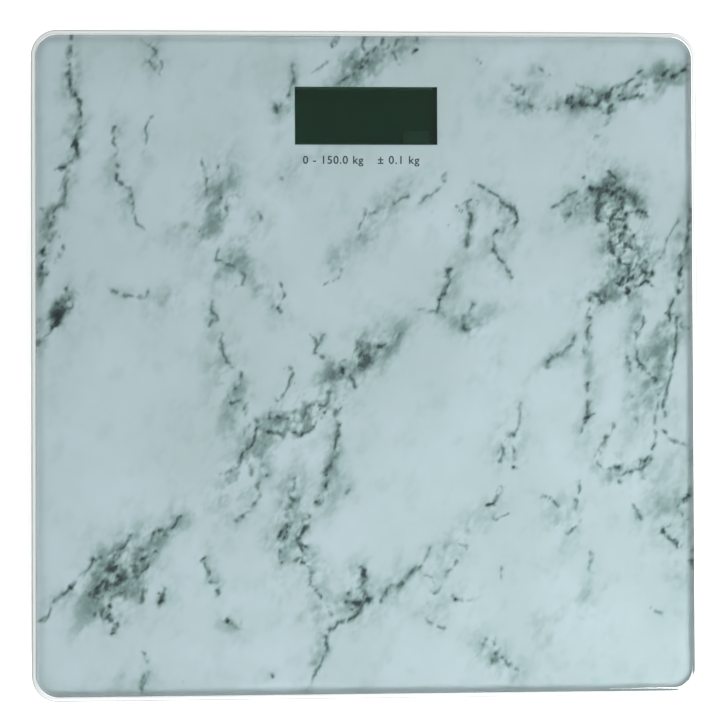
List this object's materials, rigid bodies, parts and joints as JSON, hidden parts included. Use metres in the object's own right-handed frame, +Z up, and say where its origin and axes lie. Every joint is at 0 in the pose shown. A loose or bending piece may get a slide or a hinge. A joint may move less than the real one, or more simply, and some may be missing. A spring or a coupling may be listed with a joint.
{
  "type": "digital bathroom scale",
  "caption": "Square glass-topped electronic bathroom scale with a marble print, a dark display window and a slim white housing on load-sensing feet.",
  "frame": {"origin": "on the floor below the middle of the platform", "axes": "+X across the scale to the right, +Y towards the display end, +Z up"},
  "size_m": [0.28, 0.28, 0.0248],
  "materials": {
    "platform_glass": "clear tempered float glass with a ground, polished edge",
    "marble_print": "pale blue-green marble print with dark veins, seen through the glass",
    "foam_tape": "closed-cell acrylic foam",
    "housing_plastic": "fine spark-eroded texture on moulded ABS",
    "lcd_glass": "dark liquid crystal sandwich",
    "polariser": "smooth dark green-black film",
    "dark_plastic": "moulded black plastic",
    "black_rubber": "matt moulded rubber",
    "light_guide": "milky light guide",
    "board_laminate": "green solder resist on glass-fibre laminate",
    "chip_resin": "cured black resin dome",
    "grey_plastic": "moulded dark grey plastic",
    "battery_can": "printed sleeve on a drawn steel can",
    "plated_steel": "bright nickel plating",
    "load_cell_steel": "stamped spring steel",
    "wire_red": "smooth PVC sleeve",
    "wire_white": "smooth PVC sleeve",
    "wire_black": "smooth PVC sleeve",
    "white_sealant": "cured silicone",
    "label_foil": "satin silver foil label, left blank"
  },
  "bodies": {
    "housing": {"glass_platform": "platform_glass", "printed_film": "marble_print", "foam_tape": "foam_tape", "top_frame": "housing_plastic", "bottom_cover": "housing_plastic", "lcd_panel": "lcd_glass", "lcd_polariser": "polariser", "lcd_holder": "dark_plastic", "zebra_strips": "black_rubber", "backlight_panel": "light_guide", "circuit_board": "board_laminate", "chip_blob": "chip_resin", "board_parts": "dark_plastic", "unit_switch": "dark_plastic", "battery_cell_rear": "battery_can", "battery_cell_front": "battery_can", "contact_springs": "plated_steel", "contact_plates": "plated_steel", "contact_bridge": "plated_steel", "battery_wire_red": "wire_red", "battery_wire_black": "wire_black", "sensor_wires_red": "wire_red", "sensor_wires_white": "wire_white", "sensor_wires_black": "wire_black", "load_cell_front_left": "load_cell_steel", "load_cell_front_right": "load_cell_steel", "load_cell_rear_left": "load_cell_steel", "load_cell_rear_right": "load_cell_steel", "gauge_sealant": "white_sealant", "housing_screws": "plated_steel", "board_screws": "plated_steel", "rating_label": "label_foil"},
    "front_left_foot": {"foot_front_left": "grey_plastic", "foot_pad_front_left": "black_rubber", "foot_clip_front_left": "plated_steel"},
    "front_right_foot": {"foot_front_right": "grey_plastic", "foot_pad_front_right": "black_rubber", "foot_clip_front_right": "plated_steel"},
    "rear_left_foot": {"foot_rear_left": "grey_plastic", "foot_pad_rear_left": "black_rubber", "foot_clip_rear_left": "plated_steel"},
    "rear_right_foot": {"foot_rear_right": "grey_plastic", "foot_pad_rear_right": "black_rubber", "foot_clip_rear_right": "plated_steel"},
    "button": {"unit_button": "grey_plastic", "switch_plunger": "dark_plastic"},
    "door": {"battery_door": "housing_plastic"}
  },
  "joints": [
    {"name": "front_left_load", "type": "slide", "parent": "housing", "child": "front_left_foot", "axis": [0, 0, 1], "range_m": [0, 0.0006], "stiffness_N_per_m": 2000, "springref_m": -0.004, "deforming": ["load_cell_front_left"]},
    {"name": "front_right_load", "type": "slide", "parent": "housing", "child": "front_right_foot", "axis": [0, 0, 1], "range_m": [0, 0.0006], "stiffness_N_per_m": 2000, "springref_m": -0.004, "deforming": ["load_cell_front_right"]},
    {"name": "rear_left_load", "type": "slide", "parent": "housing", "child": "rear_left_foot", "axis": [0, 0, 1], "range_m": [0, 0.0006], "stiffness_N_per_m": 2000, "springref_m": -0.004, "deforming": ["load_cell_rear_left"]},
    {"name": "rear_right_load", "type": "slide", "parent": "housing", "child": "rear_right_foot", "axis": [0, 0, 1], "range_m": [0, 0.0006], "stiffness_N_per_m": 2000, "springref_m": -0.004, "deforming": ["load_cell_rear_right"]},
    {"name": "unit_press", "type": "slide", "parent": "housing", "child": "button", "axis": [0, 0, 1], "range_m": [0, 0.0005], "stiffness_N_per_m": 2500, "springref_m": -0.0003},
    {"name": "door_swing", "type": "hinge", "parent": "housing", "child": "door", "pos_m": [0, 0.006, 0.0055], "axis": [-1, 0, 0], "range_deg": [0, 80]}
  ]
}
